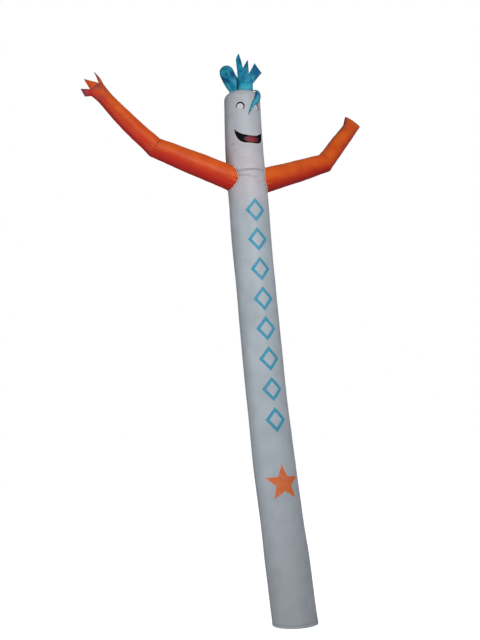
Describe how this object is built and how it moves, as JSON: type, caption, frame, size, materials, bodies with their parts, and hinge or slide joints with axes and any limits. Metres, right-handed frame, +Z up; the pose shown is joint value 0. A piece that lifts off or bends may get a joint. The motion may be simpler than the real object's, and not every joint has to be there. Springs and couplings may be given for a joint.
{
  "type": "inflatable air dancer",
  "caption": "Tall leaning tube of light cloth with a sewn face, open sleeve arms, cut hair and an open bottom rim for a blower.",
  "frame": {"origin": "centre of the open bottom rim, level with the hem's lower edge", "axes": "+Z up along the tube, -Y the way the face looks, -X toward the arm with the cut fingers"},
  "size_m": [3.2697, 0.6555, 5.979],
  "materials": {
    "white_ripstop": "light coated weave, satin",
    "orange_ripstop": "light coated weave, satin",
    "teal_ripstop": "light coated weave, glossy",
    "black_patch": "sewn patch, dull",
    "white_patch": "sewn patch, satin",
    "grey_patch": "sewn patch, dull",
    "red_patch": "sewn patch, satin"
  },
  "bodies": {
    "root": {"body_front": "white_ripstop", "body_back": "white_ripstop", "head_front": "white_ripstop", "head_back": "white_ripstop", "head_crown": "white_ripstop", "arm_left_upper": "orange_ripstop", "arm_left_fore": "orange_ripstop", "arm_right_upper": "orange_ripstop", "arm_right_fore": "orange_ripstop", "hair_thumb": "teal_ripstop", "hair_sleeve": "teal_ripstop", "hair_strand": "teal_ripstop", "eye_left_rim": "black_patch", "eye_left_white": "white_patch", "eye_left_pupil": "grey_patch", "eye_right_rim": "black_patch", "eye_right_white": "white_patch", "eye_right_pupil": "grey_patch", "mouth_dark": "black_patch", "mouth_tongue": "red_patch"}
  },
  "joints": []
}
